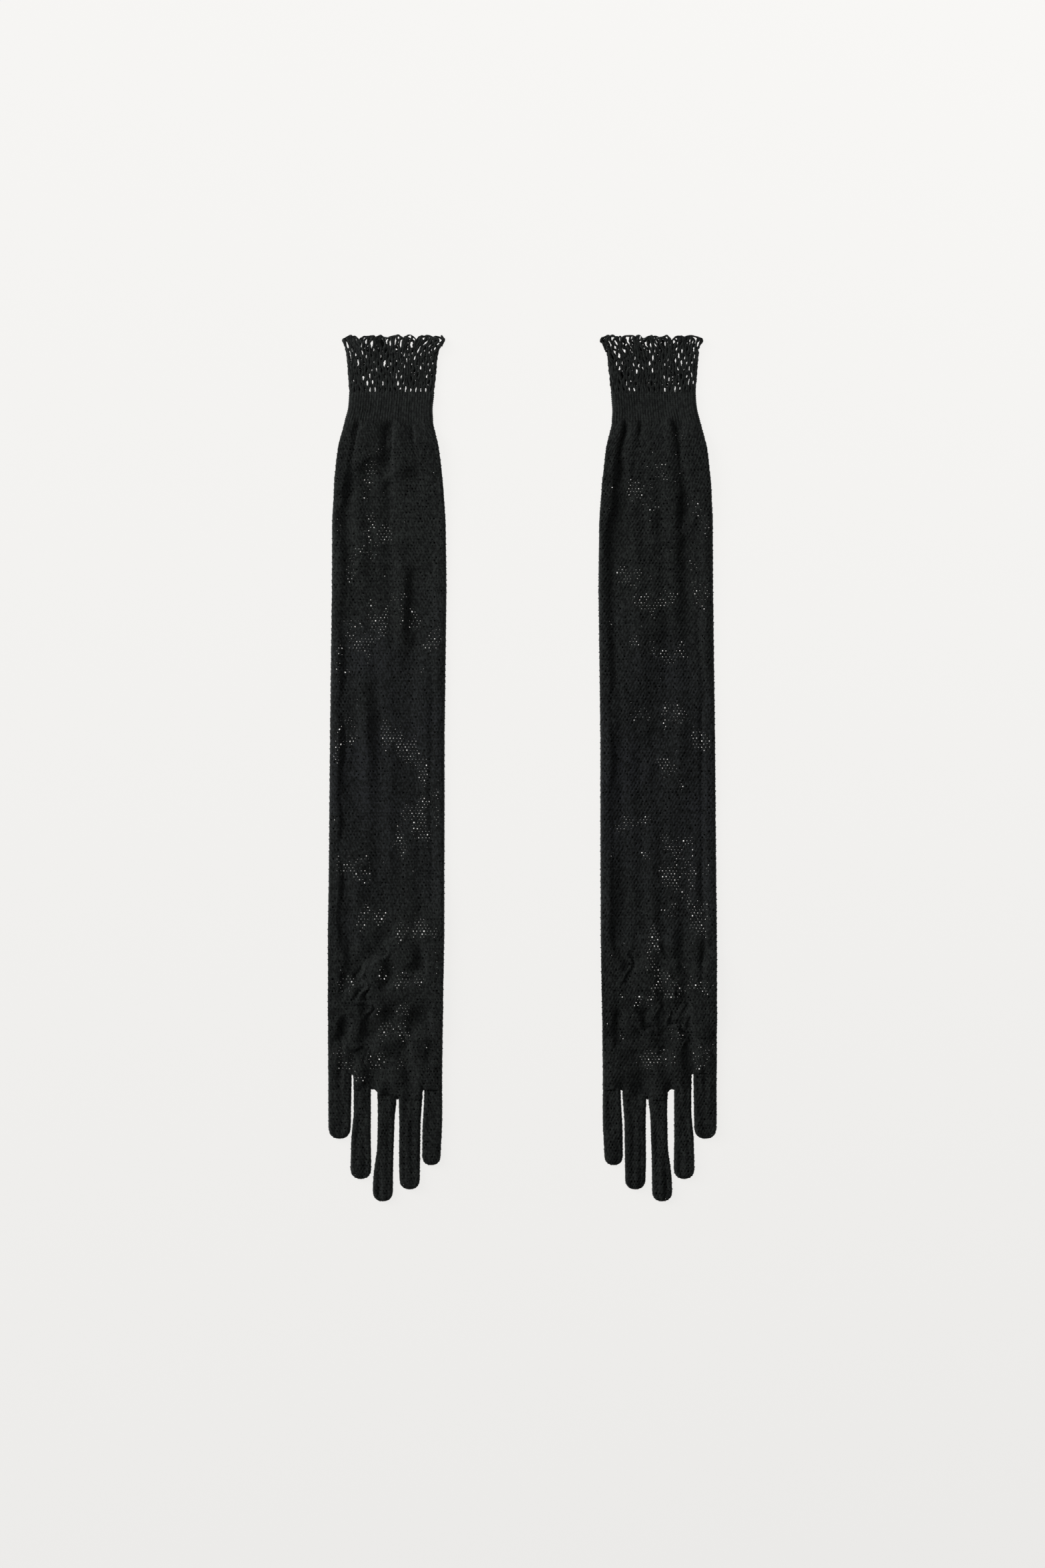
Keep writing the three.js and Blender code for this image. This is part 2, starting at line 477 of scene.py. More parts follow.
def webValleys(x, y):
    # How far the front drops towards the back between the roots of two fingers, from 0 to 1
    order = ["thumb", "index", "middle", "ring", "little"]
    total = np.zeros(np.broadcast(x, y).shape)
    for first, second in zip(order, order[1:]):
        a, b = fingers[first], fingers[second]
        at = (a["rootEdges"][1] + b["rootEdges"][0]) / 2
        crotch = max(a["root"], b["root"])
        length = folds["webLengths"][0 if first == "thumb" else 1]
        near = np.exp(-(((x - at) / folds["webWidth"]) ** 2))
        total = np.maximum(total, near * (1 - smoothStep(y, crotch - 1, crotch + length)))
    return total


creases = {
    # sharp folds of the palm: height, width, and the line they follow from the glove's middle
    "right": [
        (1.3, 1.9, [(-12, -133), (-17, -145), (-16, -157), (-13, -176)]),
        (0.8, 1.9, [(-6.5, -138), (-10, -148), (-6.5, -165), (-3.5, -182)]),
        (0.7, 3.0, [(6, -118), (-1, -131), (-7, -140)]),
        (0.9, 1.8, [(4, -145), (18, -143), (28, -150), (33, -158)]),
        (0.8, 1.8, [(-1, -160), (13, -156), (26, -160)]),
        (0.9, 1.9, [(2, -175), (11, -180), (21, -189), (24, -200)]),
        (0.8, 1.7, [(-26, -189), (-15, -197), (-8, -211)]),
    ],
    "left": [
        (1.2, 2.0, [(10, -138), (19, -160), (13, -180), (-2, -193)]),
        (0.9, 2.0, [(-9, -148), (-15, -166), (-23, -183)]),
        (0.7, 2.8, [(4, -120), (-5, -134), (-12, -150)]),
        (0.9, 1.9, [(21, -122), (25, -148), (21, -172)]),
        (0.9, 1.8, [(-2, -168), (-11, -178), (-20, -197)]),
        (0.7, 1.8, [(3, -150), (0, -165), (6, -178)]),
    ],
}


def palmCreases(side, x, y):
    if np.min(y) > wrist + 5:
        return 0
    seed = seeds[side] + 101
    bentX, bentY = softNoise(seed, 13, 13), softNoise(seed + 1, 13, 13)
    x, y = x + folds["creaseBend"] * bentX(x, y), y + folds["creaseBend"] * bentY(x, y)
    total = np.zeros(np.broadcast(x, y).shape)
    for high, wide, line in creases[side]:
        nearest = np.full(total.shape, np.inf)
        offset, along = np.zeros(total.shape), np.zeros(total.shape)
        for k, ((x0, y0), (x1, y1)) in enumerate(zip(line, line[1:])):
            dx, dy = x1 - x0, y1 - y0
            share = np.clip(((x - x0) * dx + (y - y0) * dy) / (dx**2 + dy**2), 0, 1)
            awayX, awayY = x - x0 - share * dx, y - y0 - share * dy
            away = np.hypot(awayX, awayY)
            closer = away < nearest
            offset = np.where(closer, np.copysign(away, awayX * dy - awayY * dx), offset)
            along = np.where(closer, (k + share) / (len(line) - 1), along)
            nearest = np.minimum(away, nearest)
        taper = smoothStep(along, -0.1, 0.35) * smoothStep(1 - along, -0.1, 0.35)
        ridge = np.exp(-((nearest / wide) ** 2)) - 0.9 * np.exp(-(((offset - 1.7 * wide) / wide) ** 2))
        total += high * taper * ridge
    return total


def sleeveSurface(side):
    # The whole sleeve and palm: around runs from the thumb edge over the front, y along the glove
    gathers = gatherField(side)
    seed = seeds[side]
    drift = softNoise(seed + 1, *folds["drift"][1:])
    lowDrift = softNoise(seed + 2, *folds["back"][1:])
    pucker = softNoise(seed + 3, *folds["pucker"][1:])
    long = softNoise(seed + 4, *folds["long"][1:])
    settle = settled.get(side)

    def place(around, y):
        left, right = sleeveEdges(y)
        half = (right - left) / 2
        x, z = flatOval(around, half, lay["roll"])
        x = x + (left + right) / 2
        s = (x - (left + right) / 2) / half
        inside = np.minimum(x - left, right - x)
        inRib = smoothStep(y, ribEnd - 4, ribEnd + 9)
        middle = lay["middle"] + (lay["ribHeight"] - lay["middle"]) * inRib
        belowRib = folds["gatherRise"] * smoothStep(ribEnd - y, -8, 8)
        middle = middle + belowRib * smoothStep(y, ribEnd - 90, ribEnd - 20)
        edgeShare = 1 - smoothStep(inside, 3, 15)
        height = middle + (2 * lay["roll"] - middle) * edgeShare
        ridge = lay["ridgeHeight"] * np.exp(-(((inside - lay["ridgeIn"]) / lay["ridgeWidth"]) ** 2))
        height = height + ridge * (1 - inRib)
        palmShare = smoothStep(-y, -wrist - 30, -wrist + 30)
        soft = smoothStep(inside, 1, 12) * (1 - 0.9 * inRib)
        ripple = folds["drift"][0] * drift(x, y) + folds["pucker"][0] * palmShare * pucker(x, y)
        ripple = ripple + folds["long"][0] * (1 - 0.5 * palmShare) * long(x, y)
        ripple = ripple + palmCreases(side, s * halfSleeve, y)
        for deep, fromEdge in zip(folds["edgeValleys"], (x - left, right - x)):
            inset = folds["valleyIn"][0] + folds["valleyIn"][1] * lowDrift(y, x)
            valley = deep * smoothStep(-y, -130, -30)
            ripple = ripple - valley * np.exp(-(((fromEdge - inset) / folds["valleyWidth"]) ** 2))
        height = height + soft * ripple + gathers(s, y) * soft
        web = webValleys(x, y) * folds["webDepth"]
        height = np.maximum(height, lay["thinnest"]) * (1 - web) + lay["webHeight"] * web
        base = lay["floorGap"] + folds["back"][0] * soft * (1 + lowDrift(x, y)) + lay["webLift"] * web
        upper = (z / lay["roll"] + 1) / 2
        points = np.stack(np.broadcast_arrays(x, y, base + upper * height), -1)
        if settle is not None:
            points = points + settle(around, y)
            again = folds["ripplesAgain"] * ripple + folds["pleatsAgain"] * gathers(s, y)
            high = points[..., 2] + upper * soft * again
            points[..., 2] = np.minimum(high, lay["tallest"] + lay["pressed"] * (high - lay["tallest"]))
        points[..., 2] = np.maximum(points[..., 2], lay["lowest"])
        return points

    return place


settled = {}  # for each side, how far the cloth has settled from the shape above

drape = {
    "columns": 44,
    "rowLength": 5.0,  # mm
    "scale": 0.01,  # metres for a mm, because the solver is at its best on big things
    "swell": 2.1,  # how much the sleeve stands open before it falls flat
    "slack": -0.035,  # a negative shrink gives the cloth length to wrinkle with
    "frames": 46,
    "quality": 6,
    "mass": 0.25,
    "pinnedRows": 2,
    "reach": 3.2,  # mm that a point may settle away from the plain shape
    "bending": 0.35,
    "stretch": 18.0,
    "gap": 1.1,  # mm between the two layers
    "floorGaps": (0.004, 0.006),  # solver metres that the floor and the cloth keep off
    "drift": 0.15,  # share of the movement along the floor that the knitting follows
}


def blendedGrid(grid, column, row):
    # Reads a grid of values smoothly. Columns go round, rows stop at the ends
    rows, columns = grid.shape[:2]
    wholeColumn, wholeRow = np.floor(column).astype(int), np.floor(row).astype(int)

    def weights(f):
        return (
            (1 - f) ** 3 / 6,
            (3 * f**3 - 6 * f**2 + 4) / 6,
            (-3 * f**3 + 3 * f**2 + 3 * f + 1) / 6,
            f**3 / 6,
        )

    total = 0
    for i, rowWeight in enumerate(weights(row - wholeRow)):
        r = np.clip(wholeRow + i - 1, 0, rows - 1)
        for j, columnWeight in enumerate(weights(column - wholeColumn)):
            c = (wholeColumn + j - 1) % columns
            total = total + (rowWeight * columnWeight)[..., None] * grid[r, c]
    return total


def settleSleeve(side):
    surface = sleeveSurface(side)
    columns = drape["columns"]
    top, bottom = ribEnd + 2, palmEnd + 3
    rows = int((top - bottom) / drape["rowLength"]) + 1
    around, y = np.meshgrid(np.arange(columns) / columns, np.linspace(top, bottom, rows))
    plain = surface(around, y)
    share = np.linspace(0, 1, rows)
    swell = 1 + (drape["swell"] - 1) * smoothStep(share, 0, 0.05) * smoothStep(1 - share, 0.02, 0.12)
    start = plain.copy()
    start[..., 2] *= swell[:, None]
    grid = np.arange(rows * columns).reshape(rows, columns)
    ahead = np.roll(grid, -1, 1)
    faces = np.stack([ahead[:-1], grid[:-1], grid[1:], ahead[1:]], -1).reshape(-1, 4)
    mesh = bpy.data.meshes.new("drapeSleeve")
    mesh.from_pydata((start.reshape(-1, 3) * drape["scale"]).tolist(), [], faces.tolist())
    sleeve = bpy.data.objects.new("drapeSleeve", mesh)
    floorMesh = bpy.data.meshes.new("drapeFloor")
    floorMesh.from_pydata([(-6, -6, 0), (6, -6, 0), (6, 6, 0), (-6, 6, 0)], [], [(0, 1, 2, 3)])
    floor = bpy.data.objects.new("drapeFloor", floorMesh)
    scene = bpy.context.scene
    for made in (sleeve, floor):
        scene.collection.objects.link(made)
    floor.modifiers.new("collision", "COLLISION")
    floor.collision.thickness_outer = drape["floorGaps"][0]
    pinned = sleeve.vertex_groups.new(name="pinned")
    keep = drape["pinnedRows"]
    pinned.add(np.concatenate([grid[:keep], grid[-keep:]]).ravel().tolist(), 1.0, "REPLACE")
    cloth = sleeve.modifiers.new("cloth", "CLOTH")
    cloth.settings.vertex_group_mass = "pinned"
    cloth.settings.quality = drape["quality"]
    cloth.settings.mass = drape["mass"]
    cloth.settings.tension_stiffness = drape["stretch"]
    cloth.settings.compression_stiffness = drape["stretch"]
    cloth.settings.shear_stiffness = drape["stretch"] / 3
    cloth.settings.bending_stiffness = drape["bending"]
    cloth.settings.shrink_min = drape["slack"]
    cloth.collision_settings.distance_min = drape["floorGaps"][1]
    cloth.collision_settings.use_self_collision = True
    cloth.collision_settings.self_distance_min = drape["gap"] * drape["scale"]
    cloth.point_cache.frame_start = 1
    cloth.point_cache.frame_end = drape["frames"]
    for frameNumber in range(1, drape["frames"] + 1):
        scene.frame_set(frameNumber)
    fallen = sleeve.evaluated_get(bpy.context.evaluated_depsgraph_get()).data
    points = np.empty(len(fallen.vertices) * 3, np.float32)
    fallen.vertices.foreach_get("co", points)
    points = points.reshape(rows, columns, 3).astype(float) / drape["scale"]
    for made, data in ((sleeve, mesh), (floor, floorMesh)):
        bpy.data.objects.remove(made)
        bpy.data.meshes.remove(data)
    scene.frame_set(1)
    left, right = sleeveEdges(points[..., 1])
    lowX, highX = points[..., 0].min(1, keepdims=True), points[..., 0].max(1, keepdims=True)
    points[..., 0] = left + (points[..., 0] - lowX) / (highX - lowX) * (right - left)
    moved = np.clip(points - plain, -drape["reach"], drape["reach"])
    moved = moved * (drape["drift"], drape["drift"], 1)
    print(side, "sleeve settled by", np.abs(moved).mean((0, 1)).round(2), "mm")

    def settle(around, y):
        row = (top - y) / (top - bottom) * (rows - 1)
        shift = blendedGrid(moved, np.mod(around, 1) * columns, np.clip(row, 0, rows - 1))
        ends = smoothStep(row, 0, 3) * smoothStep(rows - 1 - row, 0, 3)
        return shift * ends[..., None]

    return settle


lace = {
    "columns": 68,  # round the sleeve
    "rowPitch": 2.08,
    "eyeletAcross": 0.33,  # half the width of an eyelet
    "eyeletAlong": 0.4,
    "smallest": 0.4,  # share of that size
    "largest": 1.7,
    "rareness": 3,  # the greater, the fewer large eyelets
    "underRib": 0.35,  # share of their size right below the rib
    "columnPitch": 2.44,
    "fingerPitch": 2.3,
    "cutWidth": 0.166,  # metres, of the sleeve's flat cloth
    "palmAllowance": 5,  # that the palm's outline stands off the glove's two edges
    "overhang": 1.3,  # that the middle of an eyelet may lie past the palm's outline
    "uneven": 0.5,  # share by which a strand's lift differs
    "jitter": 0.05,
    "jitterWave": 9,
    "jitterPitch": 2.4,
    "twist": 0.25,  # columns that both layers are turned by, which sets them apart by twice as much
    "dropBehind": 0.33,  # rows that the underside's eyelets lie below the front's
    "zigzag": 0.2,
    "legLift": 0.34,
    "leftLift": 0.55,
    "rightLift": 0.05,
    "jointLift": 0.28,
    "rimLift": -0.28,
}


def makeMesh(name, points, faces, flipped, uv=None):
    # points in mm. faces are quads, turned over on the mirrored glove
    points = np.asarray(points, float) * mm
    faces = np.asarray(faces)
    corners = np.arange(faces.size).reshape(faces.shape)
    if flipped:
        points = points * (-1, 1, 1)
        faces, corners = faces[:, ::-1], corners[:, ::-1]
    mesh = bpy.data.meshes.new(name)
    mesh.vertices.add(len(points))
    mesh.vertices.foreach_set("co", points.astype(np.float32).ravel())
    mesh.loops.add(faces.size)
    mesh.loops.foreach_set("vertex_index", faces.astype(np.int32).ravel())
    mesh.polygons.add(len(faces))
    mesh.polygons.foreach_set("loop_start", np.arange(0, faces.size, faces.shape[1], dtype=np.int32))
    mesh.update(calc_edges=True)
    mesh.validate()
    mesh.polygons.foreach_set("use_smooth", np.ones(len(mesh.polygons), bool))
    if uv is not None and len(mesh.loops) == faces.size:
        layer = mesh.uv_layers.new(name="OFBake")
        layer.data.foreach_set("uv", uv.reshape(-1, 2)[corners.ravel()].astype(np.float32).ravel())
    piece = bpy.data.objects.new(name, mesh)
    bpy.context.scene.collection.objects.link(piece)
    return piece


def liftedPoints(place, c, r, lift):
    # Points on a surface given in columns and rows, moved out along its normal
    step = 0.12
    at = place(c, r)
    across = place(c + step, r) - place(c - step, r)
    down = place(c, r + step) - place(c, r - step)
    normal = np.cross(down, across)
    normal /= np.maximum(np.linalg.norm(normal, axis=-1, keepdims=True), 1e-9)
    return at + normal * np.asarray(lift)[..., None]


def knitLace(name, side, place, columns, firstRow, lastRow, pitch, keep=None, closeTop=0):
    # A tube of lace: staggered eyelets, each a ring of twelve quads out to the middle of its strands
    rows = np.arange(firstRow, lastRow)
    lines = np.arange(firstRow, lastRow + 1)
    halves = np.arange(2 * columns)
    zig = lace["zigzag"]
    draw = np.random.default_rng(len(name) * 100 + seeds[side])

    lineC = np.broadcast_to(halves / 2, (len(lines), 2 * columns))
    sign = np.where((halves[None, :] + lines[:, None]) % 2 == 0, -1, 1)
    lineR = lines[:, None] + zig * sign
    slantC = lineC + 0.25
    slantR = np.broadcast_to(lines[:, None].astype(float), slantC.shape)
    proud = 1 + lace["uneven"] * draw.uniform(-1, 1, lineC.shape)
    slantLift = np.where(sign < 0, lace["leftLift"], lace["rightLift"]) * proud
    legC = np.arange(columns)[None, :] + 0.5 * (1 - rows[:, None] % 2)
    legR = np.broadcast_to(rows[:, None] + 0.5, legC.shape)

    centreC = np.arange(columns)[None, :] + 0.5 * (rows[:, None] % 2)
    centreR = np.broadcast_to(rows[:, None] + 0.5, centreC.shape)
    around = [(0, -0.5 - zig), (0.25, -0.5), (0.5, -0.5 + zig), (0.5, 0), (0.5, 0.5 - zig), (0.25, 0.5)]
    around = np.array(around + [(-dc, -dr) for dc, dr in around])
    angle = np.arctan2(around[:, 1] * pitch[1], around[:, 0] * pitch[0])
    spread = draw.uniform(0, 1, centreC.shape) ** lace["rareness"]
    size = lace["smallest"] + (lace["largest"] - lace["smallest"]) * spread
    if closeTop:
        size = size * (lace["underRib"] + (1 - lace["underRib"]) * smoothStep(centreR, 1, closeTop))
    rimC = centreC[..., None] + size[..., None] * np.cos(angle) * lace["eyeletAcross"] / pitch[0]
    rimR = centreR[..., None] + size[..., None] * np.sin(angle) * lace["eyeletAlong"] / pitch[1]

    sets = [
        (lineC, lineR, lace["jointLift"]),
        (slantC, slantR, slantLift),
        (legC, legR, lace["legLift"] * (1 + lace["uneven"] * draw.uniform(-1, 1, legC.shape))),
        (rimC, rimR, lace["rimLift"]),
    ]
    starts = np.cumsum([0] + [s[0].size for s in sets])
    c = np.concatenate([s[0].ravel() for s in sets]).astype(float)
    r = np.concatenate([s[1].ravel() for s in sets]).astype(float)
    lift = np.concatenate([np.broadcast_to(s[2], s[0].shape).ravel() for s in sets])
    points = liftedPoints(place, c, r, lift)

    i = np.arange(columns)[None, :]
    j = np.arange(len(rows))[:, None]
    odd = rows[:, None] % 2
    middle = 2 * i + odd
    wide = 2 * columns

    def line(row, k):
        return starts[0] + row * wide + k % wide

    def slant(row, k):
        return starts[1] + row * wide + k % wide

    def leg(k):
        return starts[2] + j * columns + k % columns

    border = [
        line(j, middle),
        slant(j, middle),
        line(j, middle + 1),
        leg(i + odd),
        line(j + 1, middle + 1),
        slant(j + 1, middle),
        line(j + 1, middle),
        slant(j + 1, middle - 1),
        line(j + 1, middle - 1),
        leg(i - 1 + odd),
        line(j, middle - 1),
        slant(j, middle - 1),
    ]
    border = np.stack(np.broadcast_arrays(*border), -1)
    rim = starts[3] + np.arange(rimC.size).reshape(rimC.shape)
    nextBorder, nextRim = np.roll(border, -1, -1), np.roll(rim, -1, -1)
    faces = np.stack([nextBorder, border, rim, nextRim], -1)

    borderUv = np.stack([centreC[..., None] + around[:, 0], centreR[..., None] + around[:, 1]], -1)
    rimUv = np.stack([rimC, rimR], -1)
    uv = np.stack([np.roll(borderUv, -1, -2), borderUv, rimUv, np.roll(rimUv, -1, -2)], -2)
    uv = (uv - (-1, firstRow - 1)) / (columns + 2, len(rows) + 2)

    if keep is not None:
        kept = keep(centreC, centreR)
        faces, uv = faces[kept], uv[kept]
    faces, uv = faces.reshape(-1, 4), uv.reshape(-1, 4, 2)
    used, faces = np.unique(faces, return_inverse=True)
    return makeMesh(name, points[used], faces.reshape(-1, 4), mirrors[side] < 0, uv)


patch = {
    "lean": 0.6,  # the most that a patch leans aside
    "peak": 1.1,
    "fall": 0.34,
    "ragged": (0.35, 0.24),  # how uneven a patch is inside, and how many strays lie outside
    "clear": (0.2, 1.02),  # between these the layers go from apart to in line
    "wander": (0.06, 0.07),  # columns and rows by which the underside drifts
}
clearPatches = {
    # where the eyelets of both layers line up: place across, y, half width and half height in mm
    "right": [
        (-0.38, 196, 3, 16), (-0.1, 160, 5, 9), (-0.5, 150, 4, 12),
        (-0.45, 92, 10, 15), (0.28, 112, 5, 12), (0.82, 95, 4, 22),
        (0.3, 14, 10, 14), (-0.75, 22, 5, 12), (0.6, -32, 9, 22),
        (-0.5, -68, 8, 8), (-0.3, -103, 7, 7), (0.5, -112, 9, 6),
        (-0.7, -148, 8, 6), (0.35, -146, 10, 4), (0.15, -183, 9, 6),
        (-0.72, -203, 6, 9), (-0.1, -201, 7, 5), (0.3, -168, 9, 3),
    ],
    "left": [
        (0.28, 189, 7, 9), (-0.12, 205, 4, 9), (-0.44, 232, 4, 5),
        (-0.85, 170, 4, 20), (0.4, 130, 7, 9), (0.05, 118, 11, 9),
        (-0.8, 122, 5, 12), (0.3, 82, 5, 6), (-0.2, 80, 11, 7),
        (0.35, 38, 6, 6), (-0.3, 37, 10, 6), (-0.75, 20, 5, 8),
        (-0.15, 2, 8, 6), (0.5, -42, 11, 6), (-0.35, -72, 12, 22),
        (-0.62, -100, 6, 14), (0.1, -125, 5, 14), (-0.1, -150, 9, 12),
        (-0.7, -150, 8, 4), (-0.78, -202, 6, 9), (0.1, -200, 8, 5),
        (-0.25, -186, 7, 3),
    ],
}


def backDrift(side):
    # How far the underside's lace is shifted from the front's, in columns and rows
    seed = seeds[side]
    across, along = softNoise(seed + 21, 26, 34), softNoise(seed + 22, 24, 30)
    ragged = softNoise(seed + 23, 11, 21)
    columns = lace["columns"]
    twist = lace["twist"]

    def shift(c, r):
        c = np.mod(c, columns)
        under = smoothStep(c, columns / 2 + 0.5, columns / 2 + 3)
        under = under * smoothStep(-c, 0.5 - columns, 3 - columns)
        y = rowY(r)
        s = 1 - 4 * (c - columns / 2) / columns
        clear = np.zeros(np.broadcast(c, r).shape)
        for at, high, wide, tall in clearPatches[side]:
            lean = patch["lean"] * math.sin(9 * at + 0.13 * high)
            aside = (s - at) * halfSleeve - lean * (y - high)
            away = (aside / wide) ** 2 + ((y - high) / tall) ** 2
            clear = np.maximum(clear, patch["peak"] * np.exp(-patch["fall"] * away))
        x = s * halfSleeve
        inner, outer = patch["ragged"]
        clear = clear * (1 + inner * ragged(x, y)) + outer * ragged(x, y + 300)
        clear = smoothStep(clear, *patch["clear"])
        dc = twist - 2 * twist * clear * under + patch["wander"][0] * across(x, y) * under
        dr = (lace["dropBehind"] * (1 - clear) + patch["wander"][1] * along(x, y)) * under
        return dc, dr

    return shift


firstRowY = ribEnd + 1.0  # the lace starts just inside the rib


def rowY(r):
    return firstRowY - lace["rowPitch"] * r


def rowAt(y):
    return int(round((firstRowY - y) / lace["rowPitch"]))


def sleeveLace(side):
    # The sleeve's surface in columns and rows of lace
    surface = sleeveSurface(side)
    shift = backDrift(side)
    columns = lace["columns"]
    wave = lace["jitterWave"]
    jitterC = softNoise(seeds[side] + 31, wave, wave)
    jitterR = softNoise(seeds[side] + 32, wave, wave)

    def place(c, r):
        dc, dr = shift(c, r)
        x, y = np.mod(c, columns) * lace["jitterPitch"], rowY(r)
        c = c + dc + lace["jitter"] * jitterC(x, y)
        r = r + dr + lace["jitter"] * jitterR(x, y)
        return surface(c / columns, rowY(r))

    return place


def hang(piece, node, yarn, side, flat=None):
    # Gives a piece its yarn and hides the CAD node that it stands for
    piece.data.materials.append(materials[yarn])
    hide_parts(f"{side}_{node}")


def bodyBlend(piece, side, parent, child, at, above, below):
    (at + above) * mm
    (at - below) * mm
    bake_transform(piece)


# Lengths above and below each fold line. Only the first is read, for where the pieces meet above the elbow
# and the wrist and where each finger starts above its root. The frill's lies above its line
bends = {"elbow": (18, 18), "wrist": (14, 14), "finger": (2.2, 8), "frill": (-3, -7)}


def makeSleeves(side):
    place = sleeveLace(side)
    columns = lace["columns"]
    pitch = (lace["columnPitch"], lace["rowPitch"])
    around = lace["cutWidth"]
    elbowRow = rowAt(elbow + bends["elbow"][0])
    wristRow = rowAt(wrist + bends["wrist"][0])
    upper = knitLace(side + "_upperArmLace", side, place, columns, 0, elbowRow, pitch, closeTop=9)
    upperLength = (ribEnd - rowY(elbowRow)) * mm
    hang(upper, "upper_arm_sleeve", "mesh", side, (around, upperLength))
    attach(upper, side + "_upper_arm")
    fore = knitLace(side + "_forearmLace", side, place, columns, elbowRow, wristRow, pitch)
    foreLength = (rowY(elbowRow) - rowY(wristRow)) * mm
    hang(fore, "forearm_sleeve", "mesh", side, (around, foreLength))
    bodyBlend(fore, side, "upper_arm", "forearm", elbow, *bends["elbow"])
    palm = makePalm(side, place, wristRow, pitch)
    hang(palm, "palm", "mesh", side, (around, (rowY(wristRow) - palmEnd) * mm))
    bodyBlend(palm, side, "forearm", "hand", wrist, *bends["wrist"])


def palmRegions():
    # The palm's outline below the thumb, as boxes that all reach up into it: left, right, lowest y
    edges = {name: facts["rootEdges"] for name, facts in fingers.items()}
    roots = {name: facts["root"] for name, facts in fingers.items()}
    spare = lace["palmAllowance"]
    return [
        (edges["thumb"][0] - spare, edges["little"][1] + spare, roots["thumb"]),
        (edges["index"][0], edges["little"][1] + spare, roots["index"]),
        (edges["middle"][0], edges["ring"][1], roots["middle"]),
    ]


def intoPalm(x, y):
    # The nearest point of the palm's outline to each point, and how far away it is
    best = np.full(np.broadcast(x, y).shape, np.inf)
    bestX, bestY = np.array(x, float), np.array(y, float)
    for left, right, low in palmRegions():
        nearX, nearY = np.clip(x, left, right), np.maximum(y, low)
        away = np.hypot(nearX - x, nearY - y)
        closer = away < best
        best = np.where(closer, away, best)
        bestX, bestY = np.where(closer, nearX, bestX), np.where(closer, nearY, bestY)
    return bestX, bestY, best


def makePalm(side, place, firstRow, pitch):
    def cut(c, r):
        points = place(c, r)
        x, y = intoPalm(points[..., 0], points[..., 1])[:2]
        return np.stack([x, y, points[..., 2]], -1)

    def keep(c, r):
        points = place(c, r)
        return intoPalm(points[..., 0], points[..., 1])[2] < lace["overhang"]

    lastRow = rowAt(fingers["middle"]["root"]) + 2
    return knitLace(side + "_palmLace", side, cut, lace["columns"], firstRow, lastRow, pitch, keep)


digit = {
    "tipLength": 1.08,  # as a share of half the digit's width
    "blunt": 2.5,  # 2 for a round tip, more for a square one
    "inset": 0.15,
    "lumps": 0.1,  # share of the height, as are the next two
    "lengthwise": 0.32,
    "rootDip": 0.14,
}


def fingerSurface(facts, pitchRow):
    # A digit in turns and rows from just inside the palm to the closed tip
    top = facts["root"] + bends["finger"][0]
    left, right = facts["edges"](facts["tip"])
    tipLength = (right - left) / 2 * digit["tipLength"]
    turn = np.linspace(0, math.pi / 2, 160)
    blunt = 2 / digit["blunt"]
    along = np.sin(turn) ** blunt * tipLength
    share = np.cos(turn) ** blunt
    shaft = top - (facts["tip"] + tipLength)
    paces = np.hypot(np.diff(along), np.diff(share) * (right - left) / 2)
    travel = np.concatenate([[0], np.cumsum(paces)])
    total = shaft + travel[-1]
    rows = int(round(total / pitchRow))
    seed = int(facts["columns"] * 7 + abs(facts["tip"]))
    lumps, lengthwise = softNoise(seed, 12, 22), softNoise(seed + 1, 7, 42)

    def place(c, r):
        turned = np.mod(c / facts["columns"], 1)
        under = smoothStep(turned, 0.52, 0.6) * smoothStep(-turned, -0.98, -0.9)
        c = c + lace["twist"]
        s = np.clip((r + lace["dropBehind"] * under) / rows, -0.02, 1) * total
        past = np.clip(s - shaft, 0, travel[-1])
        y = top - np.minimum(s, shaft) - np.interp(past, travel, along)
        small = np.maximum(np.interp(past, travel, share), 0.03)
        leftEdge, rightEdge = facts["edges"](y)
        half = (rightEdge - leftEdge) / 2 - digit["inset"]
        x, z = flatOval(c / facts["columns"], half, lay["fingerRoll"])
        dip = lay["fingerMiddle"] / (2 * lay["fingerRoll"])
        inner = 1 - smoothStep(np.abs(x) / half, 0.3, 0.8)
        uneven = digit["lumps"] * lumps(x, y) + digit["lengthwise"] * inner * lengthwise(x, y)
        rise = 1 + uneven * (z > 0)
        level = 1 - digit["rootDip"] * inner * (1 - smoothStep(top - y, 2, 12))
        height = lay["fingerRoll"] * (1 - (1 - dip) * inner) * rise * level
        centre = (leftEdge + rightEdge) / 2
        z = lay["floorGap"] + 0.1 + lay["fingerRoll"] + z / lay["fingerRoll"] * height * small
        return np.stack(np.broadcast_arrays(centre + x * small, y, z), -1)

    return place, rows, total


def makeFingers(side):
    for finger, facts in fingers.items():
        place, rows, total = fingerSurface(facts, lace["rowPitch"])
        pitch = (lace["fingerPitch"], lace["rowPitch"])
        piece = knitLace(f"{side}_{finger}Lace", side, place, facts["columns"], 0, rows, pitch)
        flat = (facts["columns"] * pitch[0] * mm, total * mm)
        hang(piece, facts["node"], "mesh", side, flat)
        bodyBlend(piece, side, "hand", finger + "_digit", facts["root"], *bends["finger"])


rib = {
    "wales": 68,
    "stepsPerWale": 6,
    "rowStep": 0.36,
    "ridge": 0.42,
    "stitch": 1.35,
    "stitchLift": 0.16,
    "slant": 0.55,  # of the stitches' two legs, as a share of a stitch
    "lift": 0.4,
    "fade": 5,
    "cutWidth": 0.13,  # metres
}


